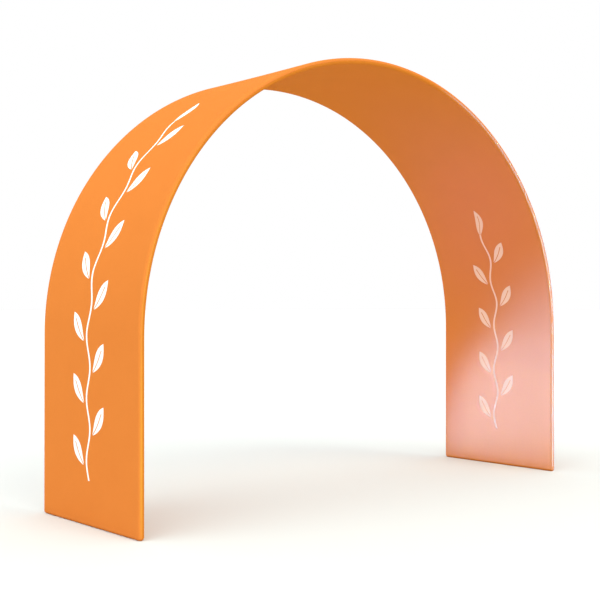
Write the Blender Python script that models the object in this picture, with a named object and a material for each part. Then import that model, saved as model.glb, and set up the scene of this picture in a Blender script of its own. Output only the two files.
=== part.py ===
# Display arch: a stretched cloth sleeve over a plain tube frame.
# Units are metres, +Z is up, +X runs across the passage and +Y through it.
# The origin is on the floor, in the middle of the passage.

import math

import bmesh
import bpy
from mathutils import Vector

# Driving dimensions of the finished arch, measured over the cloth
HEIGHT = 2.400
SPAN = 3.140
DEPTH = 0.900
LEG_HEIGHT = 0.918  # the legs are straight up to here, and a half ellipse crowns them

# Cloth and tube stock
CLOTH = 0.0015
FIT = 0.0003  # gap between any two pieces
TUBE_RADIUS = 0.0150
TUBE_WALL = 0.0015
SPREADER_RADIUS = 0.0125
SPREADER_WALL = 0.0012
SPREADER_HEIGHT = 0.800  # of the two spreaders on the legs
SPREADER_TURNS = {"left_haunch": 45, "crown": 90, "right_haunch": 135}  # degrees round the crown
SPIGOT_LENGTH = 0.060
ELBOW_REACH = 0.040  # from a bottom corner to the shoulder that a tube meets
SEAM_STRIP = 0.001  # flat strip of each panel beside the seam
FLOOR_PRESS = 0.0006  # cloth lower than this is pressed flat against the floor

# Fineness of the round forms
BOW_STEPS = 40
EDGE_STEPS = 6  # in the quarter turn of the cloth round a tube
TUBE_SIDES = 12
BALL_STEPS = 3  # in the quarter turn of an elbow
ROUND_PROFILE = 0.5  # makes a bevel a part of a circle

# Colour, roughness and metallic value of each material
LOOKS = {
    "orange stretch knit, outside": ((0.871, 0.262, 0.048), 0.6, 0.0),
    "orange stretch knit, inside": ((0.871, 0.262, 0.048), 0.6, 0.0),
    "aluminium tube": ((0.72, 0.73, 0.75), 0.35, 1.0),
    "moulded nylon": ((0.04, 0.04, 0.045), 0.5, 0.0),
}

# Worked out from the sizes above
EDGE_RADIUS = TUBE_RADIUS + FIT + CLOTH  # from a tube's axis to the face of the cloth
CLOTH_BEND = EDGE_RADIUS - SEAM_STRIP  # rounding of the cloth where it turns round a tube
HALF_SPAN = SPAN / 2 - EDGE_RADIUS
HALF_DEPTH = DEPTH / 2 - EDGE_RADIUS
RISE = HEIGHT - EDGE_RADIUS - LEG_HEIGHT
SPIGOT_RADIUS = TUBE_RADIUS - TUBE_WALL - FIT
SPIGOT_BORE = SPIGOT_RADIUS - TUBE_WALL
SHARP_ANGLE = math.radians(40)
FOLD_ANGLE = math.radians(60)

ACROSS = Vector((1, 0, 0))
THROUGH = Vector((0, 1, 0))
UP = Vector((0, 0, 1))
UPRIGHT = (0, 0, 0)
ALONG_Y = (math.pi / 2, 0, 0)  # lays a piece that stands upright along Y
TURNED_ABOUT = (0, 0, math.pi)


def clear_scene():
    for old in list(bpy.data.objects):
        bpy.data.objects.remove(old)


def material(name, colour, roughness, metallic):
    made = bpy.data.materials.new(name)
    made.use_nodes = True
    shader = made.node_tree.nodes["Principled BSDF"]
    shader.inputs["Base Color"].default_value = (*colour, 1)
    shader.inputs["Roughness"].default_value = roughness
    shader.inputs["Metallic"].default_value = metallic
    return made


def finished_mesh(work, name, surface):
    """Turns a bmesh into a smooth-shaded mesh with its material."""
    mesh = bpy.data.meshes.new(name)
    work.to_mesh(mesh)
    work.free()
    mesh.shade_smooth()
    mesh.set_sharp_from_angle(angle=SHARP_ANGLE)
    mesh.materials.append(surface)
    return mesh


def place(name, mesh, location=(0, 0, 0), turn=UPRIGHT):
    made = bpy.data.objects.new(name, mesh)
    made.location = location
    made.rotation_euler = turn
    bpy.context.scene.collection.objects.link(made)
    return made


def crown_station(turn):
    """Centre of a bow's tube and the outward normal there, at a turn from the left springing."""
    centre = Vector((-HALF_SPAN * math.cos(turn), 0, LEG_HEIGHT + RISE * math.sin(turn)))
    normal = Vector((-math.cos(turn) / HALF_SPAN, 0, math.sin(turn) / RISE)).normalized()
    return centre, normal


def crown_stations():
    return [crown_station(math.pi * step / BOW_STEPS) for step in range(BOW_STEPS + 1)]


def circle(centre, first, second, radius):
    """Points round a circle in the plane of two unit vectors."""
    turns = [2 * math.pi * side / TUBE_SIDES for side in range(TUBE_SIDES)]
    return [centre + (first * math.cos(t) + second * math.sin(t)) * radius for t in turns]


def loft(name, loops, hollow, surface):
    """A mesh through loops of points, one after another.

    A hollow piece runs up its outside and back down its bore to the first loop again.
    A solid piece has its two end loops filled.
    """
    work = bmesh.new()
    rings = [[work.verts.new(point) for point in loop] for loop in loops]
    following = rings[1:] + rings[:1] if hollow else rings[1:]
    for near, far in zip(rings, following):
        for a, b, c, d in zip(near, near[1:] + near[:1], far[1:] + far[:1], far):
            work.faces.new((a, b, c, d))
    if not hollow:
        work.faces.new(rings[0])
        work.faces.new(rings[-1])
    bmesh.ops.remove_doubles(work, verts=work.verts, dist=FIT / 2)
    bmesh.ops.recalc_face_normals(work, faces=work.faces)
    return finished_mesh(work, name, surface)


def straight_tube(name, length, radius, wall, surface):
    """A tube with its middle at the origin, open at both ends."""
    low, high = -UP * length / 2, UP * length / 2
    rounds = [(low, radius), (high, radius), (high, radius - wall), (low, radius - wall)]
    loops = [circle(centre, ACROSS, THROUGH, size) for centre, size in rounds]
    return loft(name, loops, True, surface)


def bow_tube(surface):
    """The bent tube of the crown, swaged at each end to a spigot that slips into a leg."""
    stations = crown_stations()
    bent = [(*station, TUBE_RADIUS, TUBE_RADIUS - TUBE_WALL) for station in stations[1:-1]]

    def swaged(centre, normal):
        tip = (centre - UP * SPIGOT_LENGTH, normal, SPIGOT_RADIUS, SPIGOT_BORE)
        root = (centre, normal, SPIGOT_RADIUS, SPIGOT_BORE)
        shoulder = (centre, normal, TUBE_RADIUS, SPIGOT_BORE)
        return [tip, root, shoulder]

    run = swaged(*stations[0]) + bent + swaged(*stations[-1])[::-1]
    outside = [circle(centre, normal, THROUGH, outer) for centre, normal, outer, _ in run]
    bore = [circle(centre, normal, THROUGH, inner) for centre, normal, _, inner in run]
    return loft("bow", outside + bore[::-1], True, surface)


def mitred(point, outward):
    """Moves a point on the inner half of an elbow's ring to the mitre between its two stems."""
    depth = max(-point.dot(outward), 0)
    return point + (outward + THROUGH + UP) * depth


def corner_elbow(surface):
    """A bottom corner of the front frame, with a spigot up into a leg and one into a foot bar.

    Outside it is a ball, which the cloth's corner fits over, and inside it is a mitre.
    """
    tip = ELBOW_REACH + SPIGOT_LENGTH
    stem = [(tip, SPIGOT_RADIUS), (ELBOW_REACH, SPIGOT_RADIUS), (ELBOW_REACH, TUBE_RADIUS)]
    loops = [circle(UP * reach, -THROUGH, ACROSS, size) for reach, size in stem]
    for step in range(BALL_STEPS + 1):
        turn = math.pi / 2 * step / BALL_STEPS
        outward = -THROUGH * math.cos(turn) - UP * math.sin(turn)
        ring = circle(Vector(), outward, ACROSS, TUBE_RADIUS)
        loops.append([mitred(point, outward) for point in ring])
    loops += [circle(THROUGH * reach, -UP, ACROSS, size) for reach, size in stem[::-1]]
    return loft("elbow", loops, False, surface)


def cloth_panel(name, face, surface):
    """One of the sleeve's two panels: face is 1 for the outside of the band and -1 for its inside.

    It starts as a long tray whose rims reach the middle of the band's edge, where the panels
    are sewn together. The tray's folds are then rounded to turn round the tubes.
    """
    left_foot = (-ACROSS * HALF_SPAN, -ACROSS)
    right_foot = (ACROSS * HALF_SPAN, ACROSS)
    work = bmesh.new()
    rows = []
    for centre, normal in [left_foot, *crown_stations(), right_foot]:
        seam = centre + normal * face * FIT / 2
        flat = centre + normal * face * EDGE_RADIUS
        front, back = -THROUGH * DEPTH / 2, THROUGH * DEPTH / 2
        corners = (seam + front, flat + front, flat + back, seam + back)
        rows.append([work.verts.new(corner) for corner in corners])
    for near, far in zip(rows, rows[1:]):
        for a, b, c, d in zip(near, near[1:], far[1:], far):
            work.faces.new((a, b, c, d))
    work.faces.new(rows[0][::-1])
    work.faces.new(rows[-1])
    if face > 0:
        bmesh.ops.reverse_faces(work, faces=work.faces)
    work.normal_update()

    folds = [edge for edge in work.edges if not edge.is_boundary]
    folds = [edge for edge in folds if edge.calc_face_angle() > FOLD_ANGLE]
    bmesh.ops.bevel(
        work,
        geom=folds,
        offset=CLOTH_BEND,
        offset_type="OFFSET",
        segments=EDGE_STEPS,
        profile=ROUND_PROFILE,
        affect="EDGES",
    )
    for vert in work.verts:
        if vert.co.z < FLOOR_PRESS:
            vert.co.z = 0

    made = place(name, finished_mesh(work, name, surface))
    thickness = made.modifiers.new("thickness", "SOLIDIFY")
    thickness.thickness = CLOTH
    thickness.offset = -1
    thickness.use_even_offset = True
    thickness.use_quality_normals = True
    return made


def frame(alloy, nylon):
    """The tubes, each its own piece, in pairs at the front and back and at the left and right."""
    shoulder = ELBOW_REACH + FIT
    leg_length = LEG_HEIGHT - FIT - EDGE_RADIUS - shoulder
    leg_middle = EDGE_RADIUS + shoulder + leg_length / 2
    foot_length = 2 * (HALF_DEPTH - shoulder)
    spreader_length = 2 * (HALF_DEPTH - TUBE_RADIUS - FIT)
    bow = bow_tube(alloy)
    elbow = corner_elbow(nylon)
    leg = straight_tube("leg", leg_length, TUBE_RADIUS, TUBE_WALL, alloy)
    foot = straight_tube("foot", foot_length, TUBE_RADIUS, TUBE_WALL, alloy)
    spreader = straight_tube("spreader", spreader_length, SPREADER_RADIUS, SPREADER_WALL, alloy)

    ends = {"left": -HALF_SPAN, "right": HALF_SPAN}
    sides = {"front": (-HALF_DEPTH, UPRIGHT), "back": (HALF_DEPTH, TURNED_ABOUT)}
    for side, (y, turn) in sides.items():
        place(f"bow_{side}", bow, (0, y, 0))
        for end, x in ends.items():
            place(f"elbow_{side}_{end}", elbow, (x, y, EDGE_RADIUS), turn)
            place(f"leg_tube_{side}_{end}", leg, (x, y, leg_middle))
    for end, x in ends.items():
        place(f"foot_bar_{end}", foot, (x, 0, EDGE_RADIUS), ALONG_Y)
        place(f"spreader_{end}_leg", spreader, (x, 0, SPREADER_HEIGHT), ALONG_Y)
    for where, degrees in SPREADER_TURNS.items():
        centre, _ = crown_station(math.radians(degrees))
        place(f"spreader_{where}", spreader, centre, ALONG_Y)


def build():
    clear_scene()
    outside, inside, alloy, nylon = (material(name, *look) for name, look in LOOKS.items())
    cloth_panel("outer_panel", 1, outside)
    cloth_panel("inner_panel", -1, inside)
    frame(alloy, nylon)


build()
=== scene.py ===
# Display arch: a sleeve of stretch knit, drum-tight over a hidden tube frame.
# Metres, +Z up, +X across the passage, +Y through it, origin on the floor in its middle.

import math

import bmesh
import bpy
from mathutils import Matrix, Vector


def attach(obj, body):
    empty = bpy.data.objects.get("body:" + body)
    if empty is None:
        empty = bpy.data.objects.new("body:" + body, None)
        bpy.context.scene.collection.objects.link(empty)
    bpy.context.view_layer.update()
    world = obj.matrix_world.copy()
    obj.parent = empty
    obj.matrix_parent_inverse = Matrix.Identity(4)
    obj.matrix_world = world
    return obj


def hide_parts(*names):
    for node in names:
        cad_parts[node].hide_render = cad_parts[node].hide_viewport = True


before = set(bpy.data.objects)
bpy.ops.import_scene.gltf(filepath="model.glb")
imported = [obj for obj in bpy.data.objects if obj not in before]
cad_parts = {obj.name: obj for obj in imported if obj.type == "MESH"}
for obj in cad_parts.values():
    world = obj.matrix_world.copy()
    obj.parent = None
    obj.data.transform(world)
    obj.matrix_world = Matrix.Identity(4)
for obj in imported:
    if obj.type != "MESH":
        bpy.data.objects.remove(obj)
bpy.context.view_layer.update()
print("frame loaded,", len(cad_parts), "nodes")


# The camera at the photograph's viewing angle.
viewpoint = {
    "place": (-4.200, -4.544, 1.058),  # chest height, off to the front left
    "turn": (90.34, 0, -41.25),  # degrees
    "lens": 64.22,  # mm
    "sensor": 36,  # mm
}

cameraData = bpy.data.cameras.new("camera")
cameraData.lens = viewpoint["lens"]
cameraData.sensor_width = viewpoint["sensor"]
camera = bpy.data.objects.new("camera", cameraData)
camera.location = viewpoint["place"]
camera.rotation_euler = [math.radians(angle) for angle in viewpoint["turn"]]
bpy.context.scene.collection.objects.link(camera)
bpy.context.scene.camera = camera
bpy.context.scene.view_settings.view_transform = "Standard"
bpy.context.scene.view_settings.look = "None"
print("camera set")


# The run of the arch, which the cloth and its seam follow.
arch = {
    "halfSpan": 1.5532,  # from the middle to the axis of a leg's tubes
    "legHeight": 0.918,  # straight up to here
    "rise": 1.4652,  # of the half ellipse above the legs
    "halfDepth": 0.450,
    "bend": 0.0158,  # radius of the cloth where it turns round a tube
    "strip": 0.0010,  # flat cloth beside the seam
    "gap": 0.0001,  # between the two panels, at the seam
    "crownSteps": 208,
    "measureSteps": 4000,  # for the length of the crown
    "legSteps": 24,
    "faceSteps": 26,
    "bendSteps": 8,
}


def crownPoint(turn):  # on the axis of the tubes, and the way out from there
    across, up = math.cos(turn), math.sin(turn)
    centre = Vector((-arch["halfSpan"] * across, 0, arch["legHeight"] + arch["rise"] * up))
    outward = Vector((-across / arch["halfSpan"], 0, up / arch["rise"])).normalized()
    return centre, outward


def runLengths(points):  # how far along the run each of its points lies
    lengths = [0.0]
    for near, far in zip(points, points[1:]):
        lengths.append(lengths[-1] + (far - near).length)
    return lengths


def crownRun():  # stations at even distances round the crown, with the distance from its left end
    fine = arch["measureSteps"]
    lengths = runLengths([crownPoint(math.pi * step / fine)[0] for step in range(fine + 1)])
    stations = []
    at = 0
    for step in range(arch["crownSteps"] + 1):
        wanted = lengths[-1] * step / arch["crownSteps"]
        while at < fine and lengths[at] < wanted:
            at += 1
        stations.append((*crownPoint(math.pi * at / fine), lengths[at]))
    return stations


crownStations = crownRun()
crownLength = crownStations[-1][2]
wholeLength = crownLength + 2 * arch["legHeight"]  # along the axis of the tubes, floor to floor


def archRows():  # (centre, outward, distance from the left foot, turn round the foot bar, strip past it)
    low = arch["bend"]
    quarter = low * math.pi / 2  # the cloth's way round a foot bar
    left, right = Vector((-arch["halfSpan"], 0, low)), Vector((arch["halfSpan"], 0, low))
    west, east = Vector((-1, 0, 0)), Vector((1, 0, 0))
    rows = [(left, west, low - quarter - arch["strip"], 1.0, 1)]
    for step in range(arch["bendSteps"], 0, -1):
        part = step / arch["bendSteps"]
        rows.append((left, west, low - quarter * part, part, 0))
    for step in range(arch["legSteps"]):
        height = low + (arch["legHeight"] - low) * step / arch["legSteps"]
        rows.append((Vector((-arch["halfSpan"], 0, height)), west, height, 0.0, 0))
    for centre, outward, along in crownStations:
        rows.append((centre, outward, arch["legHeight"] + along, 0.0, 0))
    for step in range(arch["legSteps"] - 1, -1, -1):
        height = low + (arch["legHeight"] - low) * step / arch["legSteps"]
        rows.append((Vector((arch["halfSpan"], 0, height)), east, wholeLength - height, 0.0, 0))
    for step in range(1, arch["bendSteps"] + 1):
        part = step / arch["bendSteps"]
        rows.append((right, east, wholeLength - low + quarter * part, part, 0))
    rows.append((right, east, wholeLength - low + quarter + arch["strip"], 1.0, 1))
    return rows


def archColumns():  # (place across, distance across from the middle, turn round the tube, strip past it)
    flat = arch["halfDepth"] - arch["bend"]
    quarter = arch["bend"] * math.pi / 2  # the cloth's way round a bow
    back = []
    for step in range(1, arch["bendSteps"] + 1):
        part = step / arch["bendSteps"]
        back.append((flat, flat + quarter * part, part, 0))
    back.append((flat, flat + quarter + arch["strip"], 1.0, 1))
    face = []
    for step in range(arch["faceSteps"] + 1):
        place = flat * (2 * step / arch["faceSteps"] - 1)
        face.append((place, place, 0.0, 0))
    front = [(-place, -across, turn, strip) for place, across, turn, strip in back[::-1]]
    return front + face + back


def linear(hexColour):  # sRGB hex to a linear colour
    parts = [int(hexColour[at:at + 2], 16) / 255 for at in (1, 3, 5)]
    return tuple(c / 12.92 if c <= 0.04045 else ((c + 0.055) / 1.055) ** 2.4 for c in parts) + (1.0,)


# Fills a node's inputs, in order or by key. Each is a value, another node's output,
# or a node, which stands for its first output.
def feed(tree, node, inputs):
    for key, value in inputs.items() if isinstance(inputs, dict) else enumerate(inputs):
        if isinstance(value, bpy.types.Node):
            value = value.outputs[0]
        if isinstance(value, bpy.types.NodeSocket):
            tree.links.new(value, node.inputs[key])
        else:
            node.inputs[key].default_value = value


def addNode(tree, kind, inputs=(), **settings):
    node = tree.nodes.new("ShaderNode" + kind)
    for name, value in settings.items():
        setattr(node, name, value)
    feed(tree, node, inputs)
    return node


def newMaterial(name):
    made = bpy.data.materials.new(name)
    made.use_nodes = True
    return made, made.node_tree, made.node_tree.nodes["Principled BSDF"]


# Warp-knitted polyester with elastane, heat-set and calendered: even colour, a soft satin gloss
# and fine upright wales. The real wales are 0.8 mm apart, too fine to show, so they are drawn
# 3 mm apart.
knit = {
    "outside": {"dyes": ("#DA7D36", "#DF823A"), "ink": "#FAF9F6"},  # the dye's deeper and lighter clouds
    "inside": {"dyes": ("#D37A25", "#D87F29"), "ink": "#F2C8AC"},  # darker dye and ink than the outside's: painted shade of the arch's inside
    "cloudScale": 5.0,  # clouds about 0.2 m across
    "cloudDetail": 4.0,
    "cloudRoughness": 0.55,
    "grooveShade": "#8E4A18",  # painted shade in the grooves between the wales
    "grooveShare": 0.22,  # how strongly that painted shade shows
    "inkFill": 0.6,  # share of that shade that the ink takes away
    "inkMatt": 0.5,  # share of the satin gloss that the ink takes away
    "waleMm": 3.0,
    "courseMm": 2.4,
    "loopSlant": 0.6,  # how far a loop's V climbs from groove to wale, in courses
    "loopRelief": 0.3,  # height of the loops, as a share of the wales' own
    "roughness": 0.80,
    "specular": 0.0,
    "satin": 0.06,
    "satinRoughness": 0.50,
    "bump": 0.45,
    "bumpDistance": 0.0004,
}

# A climbing vine of plain leaves, printed along the middle of the band, up from each foot.
vine = {
    "outside": {"start": 0.24, "pairs": 6},  # height above the floor, and pairs of leaves
    "inside": {"start": 0.26, "pairs": 4},
    "pitch": 0.300,  # from one pair of leaves to the next
    "leafLength": 0.190,
    "leafWidth": 0.058,
    "leafLean": 42.0,  # degrees out from the stem
    "leafOut": 0.088,  # middle of a leaf from the stem
    "leafUp": 0.120,  # middle of a leaf above the start of its pair
    "ribWidth": 0.005,
    "ribReach": 0.55,  # how far a midrib goes on past its leaf's middle, 1 at the tip
    "stemWidth": 0.013,
    "stemSway": 0.016,
    "stemBelow": 0.02,  # how far the stem reaches down past the start
    "stemInto": 0.9,  # where it ends in the top leaf: 1 at the leaf's foot, 0 in its middle
}


def vineLeaf(tree, out, up, turn):  # 1 inside a pointed oval, but 0 on its midrib
    halfLength, halfWidth = vine["leafLength"] / 2, vine["leafWidth"] / 2
    radius = (halfLength ** 2 + halfWidth ** 2) / (2 * halfWidth)  # of the two arcs that bound it
    spot = addNode(tree, "CombineXYZ", (out, up))
    turned = addNode(tree, "VectorRotate", {"Vector": spot, "Angle": turn}, rotation_type="Z_AXIS")
    sideways, long = addNode(tree, "SeparateXYZ", (turned,)).outputs[:2]
    wide = addNode(tree, "Math", (sideways,), operation="ABSOLUTE")
    reach = addNode(tree, "Math", (wide, radius - halfWidth), operation="ADD")
    fromCentre = addNode(tree, "CombineXYZ", (reach, long))
    distance = addNode(tree, "VectorMath", (fromCentre,), operation="LENGTH").outputs["Value"]
    inside = addNode(tree, "Math", (distance, radius), operation="LESS_THAN")
    thin = addNode(tree, "Math", (wide, vine["ribWidth"] / 2), operation="LESS_THAN")
    short = addNode(tree, "Math", (long, halfLength * vine["ribReach"]), operation="LESS_THAN")
    rib = addNode(tree, "Math", (thin, short), operation="MULTIPLY")
    return addNode(tree, "Math", (inside, rib), operation="GREATER_THAN")


def vinePrint(tree, across, fromLeft, side):  # 1 where the print is, 0 elsewhere
    pitch, start, pairs = vine["pitch"], vine[side]["start"], vine[side]["pairs"]
    fromRight = addNode(tree, "Math", (wholeLength, fromLeft), operation="SUBTRACT")
    fromFoot = addNode(tree, "Math", (fromLeft, fromRight), operation="MINIMUM")
    along = addNode(tree, "Math", (fromFoot, start), operation="SUBTRACT")
    angle = addNode(tree, "Math", (along, 2 * math.pi / pitch), operation="MULTIPLY")
    wave = addNode(tree, "Math", (angle,), operation="SINE")
    fromStem = addNode(tree, "Math", (wave, -vine["stemSway"], across), operation="MULTIPLY_ADD")

    tip = pairs * pitch + vine["leafLength"]  # middle of the top leaf
    aboveTip = addNode(tree, "Math", (along, tip), operation="SUBTRACT")
    found = vineLeaf(tree, fromStem, aboveTip, 0.0)
    for way, shift in ((1, 0.0), (-1, pitch / 2)):  # a leaf to one side, and half a pitch up to the other
        shifted = addNode(tree, "Math", (along, shift), operation="SUBTRACT")
        inPair = addNode(tree, "Math", (shifted, pitch), operation="FLOORED_MODULO")
        up = addNode(tree, "Math", (inPair, vine["leafUp"]), operation="SUBTRACT")
        out = addNode(tree, "Math", (fromStem, way, -vine["leafOut"]), operation="MULTIPLY_ADD")
        leaf = vineLeaf(tree, out, up, math.radians(vine["leafLean"]))
        middle = pairs * pitch / 2
        onVine = addNode(tree, "Math", (shifted, middle, middle), operation="COMPARE")
        kept = addNode(tree, "Math", (leaf, onVine), operation="MULTIPLY")
        found = addNode(tree, "Math", (found, kept), operation="MAXIMUM")

    low, high = -vine["stemBelow"], tip - vine["leafLength"] / 2 * vine["stemInto"]
    onStem = addNode(tree, "Math", (fromStem, 0.0, vine["stemWidth"] / 2), operation="COMPARE")
    between = addNode(tree, "Math", (along, (low + high) / 2, (high - low) / 2), operation="COMPARE")
    stem = addNode(tree, "Math", (onStem, between), operation="MULTIPLY")
    return addNode(tree, "Math", (found, stem), operation="MAXIMUM")


def knitCloth(name, side):
    made, tree, shader = newMaterial(name)
    place = addNode(tree, "UVMap", uv_map="clothPlace")
    across, fromLeft = addNode(tree, "SeparateXYZ", (place,)).outputs[:2]
    halfWale, course = knit["waleMm"] / 2000, knit["courseMm"] / 1000
    fromGroove = addNode(tree, "Math", (across, halfWale), operation="PINGPONG")
    wide = addNode(tree, "Math", (fromGroove, halfWale), operation="DIVIDE")  # 0 between wales, 1 on one
    climb = course * knit["loopSlant"]
    slanted = addNode(tree, "Math", (wide, climb, fromLeft), operation="MULTIPLY_ADD")
    angle = addNode(tree, "Math", (slanted, 2 * math.pi / course), operation="MULTIPLY")
    arc = addNode(tree, "Math", (angle,), operation="SINE")
    wales = addNode(tree, "Math", (wide,), operation="SQRT")
    loops = addNode(tree, "Math", (arc, knit["loopRelief"], wales), operation="MULTIPLY_ADD")
    relief = addNode(tree, "Bump", {
        "Strength": knit["bump"], "Distance": knit["bumpDistance"], "Height": loops,
    })

    cloudy = addNode(tree, "TexNoise", {
        "Vector": place, "Scale": knit["cloudScale"],
        "Detail": knit["cloudDetail"], "Roughness": knit["cloudRoughness"],
    })
    # on the inside these dyes and the ink are darker than outside: painted shade of the arch's inside
    deeper, lighter = [linear(dye) for dye in knit[side]["dyes"]]
    dyed = addNode(tree, "Mix", {0: cloudy, 6: deeper, 7: lighter}, data_type="RGBA").outputs[2]
    ink = vinePrint(tree, across, fromLeft, side)
    inkColour = linear(knit[side]["ink"])
    printed = addNode(tree, "Mix", {0: ink, 6: dyed, 7: inkColour}, data_type="RGBA").outputs[2]
    # painted shade in the grooves between the wales, which the ink partly fills
    share = knit["grooveShare"]
    depth = addNode(tree, "Math", (loops, -share, share), operation="MULTIPLY_ADD")
    unfilled = addNode(tree, "Math", (ink, -knit["inkFill"], 1.0), operation="MULTIPLY_ADD")
    shade = addNode(tree, "Math", (depth, unfilled), operation="MULTIPLY")
    grooveShade = linear(knit["grooveShade"])
    colour = addNode(tree, "Mix", {0: shade, 6: printed, 7: grooveShade}, data_type="RGBA").outputs[2]
    lost = -knit["satin"] * knit["inkMatt"]
    satin = addNode(tree, "Math", (ink, lost, knit["satin"]), operation="MULTIPLY_ADD")
    feed(tree, shader, {
        "Base Color": colour,
        "Normal": relief,
        "Roughness": knit["roughness"],
        "Specular IOR Level": knit["specular"],
        "Coat Weight": satin,
        "Coat Roughness": knit["satinRoughness"],
    })
    return made


clothOutside = knitCloth("warp-knit polyester, outside", "outside")
clothInside = knitCloth("warp-knit polyester, inside", "inside")


# Core-spun polyester sewing thread: two plies twisted together, matt, a little deeper than the cloth.
thread = {
    "colour": "#C96F2C",
    "plyShade": "#A85A20",  # painted shade between the plies
    "twistMm": 0.8,
    "roughness": 0.75,
    "specular": 0.0,
    "bump": 0.6,
    "bumpDistance": 0.0001,
}


def sewingThread():
    made, tree, shader = newMaterial("core-spun polyester thread")
    place = addNode(tree, "UVMap", uv_map="threadPlace")
    around, along = addNode(tree, "SeparateXYZ", (place,)).outputs[:2]
    twists = 1000 / thread["twistMm"]  # in a metre
    turns = addNode(tree, "Math", (along, twists, around), operation="MULTIPLY_ADD")
    angle = addNode(tree, "Math", (turns, 2 * math.pi), operation="MULTIPLY")
    wave = addNode(tree, "Math", (angle,), operation="SINE")
    plies = addNode(tree, "Math", (wave,), operation="ABSOLUTE")  # two to a turn
    # painted shade between the plies, lighter on their crests
    plyShade, crest = linear(thread["plyShade"]), linear(thread["colour"])
    colour = addNode(tree, "Mix", {0: plies, 6: plyShade, 7: crest}, data_type="RGBA").outputs[2]
    relief = addNode(tree, "Bump", {
        "Strength": thread["bump"], "Distance": thread["bumpDistance"], "Height": plies,
    })
    feed(tree, shader, {
        "Base Color": colour,
        "Normal": relief,
        "Roughness": thread["roughness"],
        "Specular IOR Level": thread["specular"],
    })
    return made


# Drawn and anodised aluminium: a satin metal whose gloss varies a little from spot to spot.
tube = {
    "colour": "#DCDEE1",
    "grainScale": 220.0,  # spots 4.5 mm across
    "grainDetail": 3.0,
    "glossiest": 0.30,  # roughness
    "dullest": 0.42,
}


def anodisedTube():
    made, tree, shader = newMaterial("anodised aluminium tube")
    place = addNode(tree, "TexCoord").outputs["Object"]
    grain = addNode(tree, "TexNoise", {
        "Vector": place, "Scale": tube["grainScale"], "Detail": tube["grainDetail"],
    })
    rough = addNode(tree, "MapRange", {0: grain, 3: tube["glossiest"], 4: tube["dullest"]})
    feed(tree, shader, {"Base Color": linear(tube["colour"]), "Metallic": 1.0, "Roughness": rough})
    return made


# Moulded nylon: black, with the spark finish of its mould, drawn coarser than the real 0.2 mm.
elbow = {
    "colour": "#37373A",
    "sparkScale": 900.0,  # pits 1.1 mm across
    "sparkDetail": 2.0,
    "roughness": 0.5,
    "bump": 0.25,
    "bumpDistance": 0.0002,
}


def mouldedNylon():
    made, tree, shader = newMaterial("moulded nylon elbow")
    place = addNode(tree, "TexCoord").outputs["Object"]
    spark = addNode(tree, "TexNoise", {
        "Vector": place, "Scale": elbow["sparkScale"], "Detail": elbow["sparkDetail"],
    })
    relief = addNode(tree, "Bump", {
        "Strength": elbow["bump"], "Distance": elbow["bumpDistance"], "Height": spark,
    })
    feed(tree, shader, {
        "Base Color": linear(elbow["colour"]), "Normal": relief, "Roughness": elbow["roughness"],
    })
    return made


tubeMetal = anodisedTube()
elbowNylon = mouldedNylon()
for name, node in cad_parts.items():
    if name.startswith("elbow"):
        node.material_slots[0].material = elbowNylon
    elif not name.endswith("panel"):
        node.material_slots[0].material = tubeMetal
print("materials made")


# The two cloth panels, cut and sewn as one sleeve.
cloth = {
    "thickness": 0.0010,
    "rimRound": 0.00035,
    "rimSegments": 2,
    "rimAngle": 60.0,  # degrees; a sharper edge than this is a rim
    "drawOutside": 0.0020,  # how far tension draws the outside in, between the bows
    "drawInside": 0.0026,  # and lifts the inside off them
    "drawEase": 0.7,  # how quickly that grows from the ends of the crown
    "pressed": 0.0006,  # cloth lower than this lies flat on the floor
    "weld": 0.00002,  # corners nearer than this are one
}


# The cloth's normal at a turn round tube and foot bar.
def turnDirection(outward, sideways, turnAcross, turnFoot):
    most = max(turnAcross, turnFoot)
    if most == 0:
        return outward
    if turnAcross >= turnFoot:
        swing = math.pi / 4 * turnFoot / turnAcross
    else:
        swing = math.pi / 2 - math.pi / 4 * turnAcross / turnFoot
    lean = sideways * math.cos(swing) - Vector((0, 0, 1)) * math.sin(swing)
    return outward * math.cos(most * math.pi / 2) + lean * math.sin(most * math.pi / 2)


def clothDraw(face, across, along):  # how far the drum-tight cloth is drawn towards the middle of the arch
    depth = cloth["drawOutside"] if face > 0 else cloth["drawInside"]
    halfFlat = arch["halfDepth"] - arch["bend"]
    betweenBows = max(0.0, 1 - (across / halfFlat) ** 2)
    part = (along - arch["legHeight"]) / crownLength
    onCrown = math.sin(math.pi * part) ** cloth["drawEase"] if 0 < part < 1 else 0.0
    return depth * betweenBows * onCrown


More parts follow.
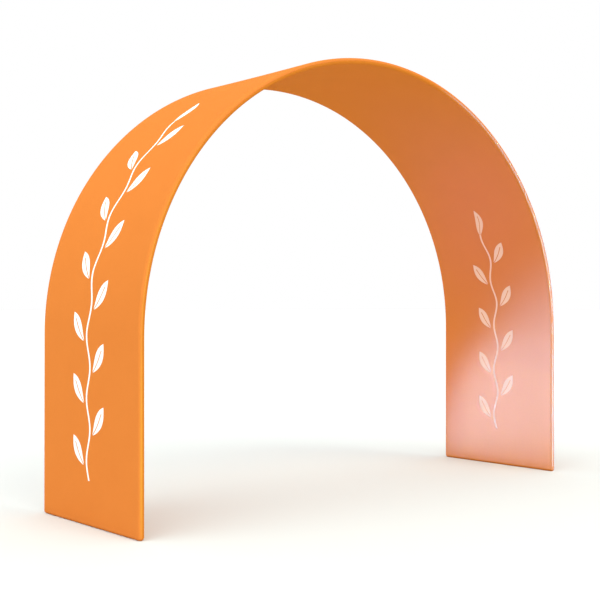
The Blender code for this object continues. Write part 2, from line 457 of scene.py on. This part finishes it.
def clothPanel(name, node, face, surface):  # face is 1 for the outside of the band, -1 for its inside
    rows, columns = archRows(), archColumns()
    work = bmesh.new()
    grid = []
    for centre, out, along, turnFoot, footStrip in rows:
        outward = out * face
        line = []
        for place, across, turnAcross, edgeStrip in columns:
            sideways = Vector((0, math.copysign(1, place), 0))
            away = turnDirection(outward, sideways, turnAcross, turnFoot)
            point = centre + outward * arch["strip"] + Vector((0, place, 0)) + away * arch["bend"]
            if footStrip or edgeStrip:
                point -= outward * (arch["strip"] - arch["gap"] / 2)
            if not (turnFoot or turnAcross):
                point -= out * clothDraw(face, across, along)
            if point.z < cloth["pressed"]:
                point.z = 0
            line.append(work.verts.new(point))
        grid.append(line)
    uvs = work.loops.layers.uv.new("clothPlace")
    for near, far, rowNear, rowFar in zip(grid, grid[1:], rows, rows[1:]):
        for at in range(len(columns) - 1):
            corners = (near[at], near[at + 1], far[at + 1], far[at])
            places = (
                (columns[at][1], rowNear[2]), (columns[at + 1][1], rowNear[2]),
                (columns[at + 1][1], rowFar[2]), (columns[at][1], rowFar[2]),
            )
            if face > 0:
                corners, places = corners[::-1], places[::-1]
            patch = work.faces.new(corners)
            patch.smooth = True
            for loop, spot in zip(patch.loops, places):
                loop[uvs].uv = spot
    # the strips meet in a point at each corner of the seam
    bmesh.ops.remove_doubles(work, verts=work.verts, dist=cloth["weld"])
    work.normal_update()
    mesh = bpy.data.meshes.new(name)
    work.to_mesh(mesh)
    work.free()
    mesh.materials.append(surface)
    panel = bpy.data.objects.new(name, mesh)
    bpy.context.scene.collection.objects.link(panel)
    shell = panel.modifiers.new("thickness", "SOLIDIFY")
    shell.thickness = cloth["thickness"]
    shell.offset = -1
    shell.use_even_offset = True
    shell.use_quality_normals = True
    rims = panel.modifiers.new("rims", "BEVEL")
    rims.width = cloth["rimRound"]
    rims.segments = cloth["rimSegments"]
    rims.limit_method = "ANGLE"
    rims.angle_limit = math.radians(cloth["rimAngle"])
    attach(panel, "root")
    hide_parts(node)
    return panel


outside = clothPanel("cloth_outside_panel", "outer_panel", 1, clothOutside)
inside = clothPanel("cloth_inside_panel", "inner_panel", -1, clothInside)
print("cloth panels made")


# The seam's stitches: a ladder of thread across the gap, as an overlock shows where it is stretched.
stitch = {
    "pitch": 0.0040,
    "reach": 0.0011,  # each way from the middle of the seam
    "shoulder": 0.5,  # where the thread bends down, as a share of that
    "slant": 0.0006,  # how far an end is shifted along the seam
    "radius": 0.00022,
    "proud": 0.00010,  # middle of the thread above the cloth
    "sunk": 0.00040,  # its ends below it
    "footSlope": -0.9,  # where the cloth's normal points down more than this, it is under a foot
    "sides": 5,
}


def seamRun():  # (point, the cloth's normal, the way across the seam), once round the sleeve
    flat, low, steps = arch["halfDepth"] - arch["bend"], arch["bend"], arch["bendSteps"]
    edge = [(Vector((-arch["halfSpan"], 0, low)), Vector((-1, 0, 0)))]
    edge += [(centre, outward) for centre, outward, along in crownStations]
    edge.append((Vector((arch["halfSpan"], 0, low)), Vector((1, 0, 0))))
    run = []
    for sideways, rows in ((Vector((0, -1, 0)), edge), (Vector((0, 1, 0)), edge[::-1])):
        run += [(centre + sideways * arch["halfDepth"], sideways, outward) for centre, outward in rows]
        foot, outward = rows[-1]
        for step in range(1, 2 * steps + 2):  # down one corner, along under the foot, up the next
            near = step <= steps
            corner = sideways if near else -sideways
            swing = (step if near else 2 * steps + 1 - step) / steps * math.pi / 2
            away = corner * math.cos(swing) - Vector((0, 0, 1)) * math.sin(swing)
            run.append((foot + corner * flat + away * low, away, outward))
    return run + run[:1]


def seamStitches(name, surface):
    run = seamRun()
    lengths = runLengths([point for point, normal, across in run])
    count = round(lengths[-1] / stitch["pitch"])
    reach, shoulder, sides = stitch["reach"], stitch["shoulder"], stitch["sides"]
    points, faces, places = [], [], []
    at = 0
    for number in range(count):
        wanted = lengths[-1] * (number + 0.5) / count
        while lengths[at + 1] < wanted:
            at += 1
        part = (wanted - lengths[at]) / (lengths[at + 1] - lengths[at])
        middle, normal, across = [near.lerp(far, part) for near, far in zip(run[at], run[at + 1])]
        normal, across = normal.normalized(), across.normalized()
        along = normal.cross(across)
        underFoot = normal.z <= stitch["footSlope"]
        proud = -stitch["radius"] if underFoot else stitch["proud"]  # under a foot it lies in the gap
        steep = math.atan2(stitch["sunk"] + proud, reach * (1 - shoulder))
        bends = (  # (place across, height, lean) of each ring of the thread
            (-1.0, -stitch["sunk"], steep),
            (-shoulder, proud, steep / 2),
            (shoulder, proud, -steep / 2),
            (1.0, -stitch["sunk"], -steep),
        )
        first = len(points)
        for share, height, lean in bends:
            centre = middle + across * share * reach + normal * height + along * share * stitch["slant"]
            upward = normal * math.cos(lean) - across * math.sin(lean)
            for side in range(sides):
                turn = 2 * math.pi * side / sides
                spoke = upward * math.cos(turn) + along * math.sin(turn)
                points.append(centre + spoke * stitch["radius"])
        for ring in range(len(bends) - 1):
            low, high = first + ring * sides, first + (ring + 1) * sides
            there, further = reach * (bends[ring][0] + 1), reach * (bends[ring + 1][0] + 1)
            for side in range(sides):
                after = (side + 1) % sides
                faces.append((low + side, low + after, high + after, high + side))
                left, right = side / sides, (side + 1) / sides
                places += [left, there, right, there, right, further, left, further]
        last = first + (len(bends) - 1) * sides
        faces.append(tuple(range(first + sides - 1, first - 1, -1)))
        faces.append(tuple(range(last, last + sides)))
        places += [0.0, 0.0] * (2 * sides)
    mesh = bpy.data.meshes.new(name)
    mesh.from_pydata(points, [], faces)
    mesh.uv_layers.new(name="threadPlace").data.foreach_set("uv", places)
    mesh.polygons.foreach_set("use_smooth", [True] * len(faces))
    mesh.materials.append(surface)
    stitches = bpy.data.objects.new(name, mesh)
    bpy.context.scene.collection.objects.link(stitches)
    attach(stitches, "root")
    return stitches


stitches = seamStitches("seam_stitches", sewingThread())
print("seam sewn,", len(stitches.data.polygons), "faces")


# The floor, the soft studio light and the gloss lamps.
studio = {
    "floor": "#D8D8D8",
    "floorSize": 400.0,
    "floorRoughness": 0.9,
    "worldStrength": 1.0,
    "sunPlace": (0, 0, 5),  # a sun lights alike from anywhere
    "suns": {
        # from high on the left, so wide that its shadows are soft
        "key": {"from": (-0.60, -0.12, 0.79), "watts": 1.3, "angle": 60.0, "colour": (0.84, 1.0, 0.96)},
        # from in front, along the faces, so that mostly the rounded edges and the floor catch it
        "front": {"from": (0.0, -0.70, 0.71), "watts": 1.3, "angle": 40.0, "colour": (0.95, 1.0, 0.85)},
    },
    "glows": {
        # low inside the arch, turned to its right leg: it shows only as satin gloss
        "leg": {"place": (0.90, -0.35, 0.0), "aim": (1.84, -0.69, 0.0), "wide": 2.15, "high": 2.10,
                "spread": 100.0, "watts": 900, "colour": (0.22, 0.56, 1.0)},
        # low behind the arch, turned up to its right haunch: a weak violet gloss there
        "haunch": {"place": (0.62, 0.75, 0.45), "aim": (1.32, -0.30, 1.60), "wide": 1.60, "high": 1.40,
                   "spread": 120.0, "watts": 92, "colour": (0.60, 0.25, 0.90)},
        # thin lines in front of the legs' front edges, in line with them, so that the faces don't see them
        "rightLine": {"place": (1.553, -0.75, 0.30), "aim": (1.553, -0.45, 0.30), "wide": 0.03, "high": 1.30,
                      "spread": 90.0, "watts": 125, "colour": (0.12, 0.62, 1.0)},
        # and one further out, for the outer half of the right one
        "rightOuterLine": {"place": (1.903, -0.65, 0.30), "aim": (1.553, -0.45, 0.30),
                           "wide": 0.03, "high": 1.30, "spread": 24.0, "watts": 5,
                           "colour": (0.12, 0.62, 1.0)},
        "leftLine": {"place": (-1.553, -0.75, 0.30), "aim": (-1.553, -0.45, 0.30), "wide": 0.03, "high": 1.30,
                     "spread": 90.0, "watts": 24, "colour": (0.40, 1.0, 0.0)},
    },
    # the lines go on as short lamps in front of the crown, each along the edge there,
    # from start to end of its half turn, and so far ahead of the edge and out from it
    "crownLines": {
        "right": {"start": 0.64, "end": 1.0, "lamps": 6, "ahead": 0.30, "out": 0.0,
                  "spread": 90.0, "watts": 25, "colour": (0.12, 0.62, 1.0)},
        "rightOuter": {"start": 0.70, "end": 1.0, "lamps": 5, "ahead": 0.20, "out": 0.35,
                       "spread": 24.0, "watts": 1.5, "colour": (0.12, 0.62, 1.0)},
        "left": {"start": 0.0, "end": 0.24, "lamps": 4, "ahead": 0.30, "out": 0.0,
                 "spread": 90.0, "watts": 3, "colour": (0.40, 1.0, 0.0)},
    },
    "crownLineWidth": 0.03,
}

floorMaterial, floorTree, floorShader = newMaterial("matt white studio floor")
feed(floorTree, floorShader, {
    "Base Color": linear(studio["floor"]), "Roughness": studio["floorRoughness"], "Specular IOR Level": 0.0,
})
bpy.ops.object.select_all(action="DESELECT")
bpy.ops.mesh.primitive_plane_add(size=studio["floorSize"])
floor = bpy.context.object
floor.name = "floor"
floor.data.materials.append(floorMaterial)

world = bpy.data.worlds.new("white studio")
world.use_nodes = True
world.node_tree.nodes["Background"].inputs["Color"].default_value = (1, 1, 1, 1)
world.node_tree.nodes["Background"].inputs["Strength"].default_value = studio["worldStrength"]
bpy.context.scene.world = world


def hangLight(name, kind, place, towards, glossOnly, settings):  # settings are the lamp's own
    lamp = bpy.data.lights.new(name, kind)
    for key, value in settings.items():
        setattr(lamp, key, value)
    holder = bpy.data.objects.new(name, lamp)
    holder.location = place
    holder.rotation_euler = (-Vector(towards)).to_track_quat("Z", "Y").to_euler()
    holder.visible_camera = not glossOnly
    holder.visible_diffuse = not glossOnly
    bpy.context.scene.collection.objects.link(holder)
    return holder


for name, lit in studio["suns"].items():
    hangLight(name, "SUN", studio["sunPlace"], -Vector(lit["from"]), False, {
        "energy": lit["watts"], "angle": math.radians(lit["angle"]), "color": lit["colour"],
    })
for name, lit in studio["glows"].items():
    hangLight(name, "AREA", lit["place"], Vector(lit["aim"]) - Vector(lit["place"]), True, {
        "shape": "ELLIPSE", "size": lit["wide"], "size_y": lit["high"],
        "spread": math.radians(lit["spread"]), "energy": lit["watts"], "color": lit["colour"],
    })
ahead = Vector((0, -1, 0))
for name, line in studio["crownLines"].items():
    reach = (line["end"] - line["start"]) / line["lamps"]
    for number in range(line["lamps"]):
        centre, outward = crownPoint(math.pi * (line["start"] + reach * (number + 0.5)))
        back = ahead * line["ahead"] + outward * line["out"]
        away, along = back.normalized(), ahead.cross(outward)
        place = centre + ahead * arch["halfDepth"] + back
        glow = hangLight(name + "CrownLine", "AREA", place, -away, True, {
            "shape": "RECTANGLE", "size": studio["crownLineWidth"], "size_y": crownLength * reach,
            "spread": math.radians(line["spread"]), "energy": line["watts"], "color": line["colour"],
        })
        glow.rotation_euler = Matrix((along.cross(away), along, away)).transposed().to_euler()
print("floor and light set")
